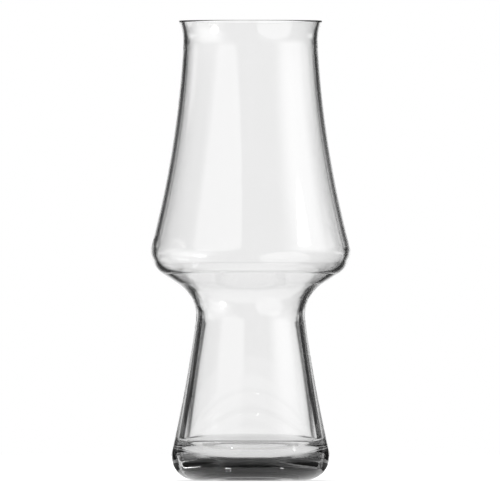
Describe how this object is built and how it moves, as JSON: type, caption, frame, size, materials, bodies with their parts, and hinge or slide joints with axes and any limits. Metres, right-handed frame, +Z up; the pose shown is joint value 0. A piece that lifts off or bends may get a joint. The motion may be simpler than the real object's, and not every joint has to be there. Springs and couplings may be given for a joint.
{
  "type": "beer glass",
  "caption": "Clear beer glass with a flared lip, a bowl that swells to a round shoulder, a narrow waist and a hollow conical foot on a thick base, for drinking from.",
  "frame": {"origin": "centre of the standing ring, on the table", "axes": "+Z up the glass's own axis, from the base to the lip; the glass is round, so X and Y are free"},
  "size_m": [0.087, 0.087, 0.2],
  "materials": {
    "clear_glass": "clear colourless soda-lime glass, fire-polished"
  },
  "bodies": {
    "root": {"rim": "clear_glass", "bowl": "clear_glass", "shoulder": "clear_glass", "foot": "clear_glass", "base": "clear_glass"}
  },
  "joints": []
}
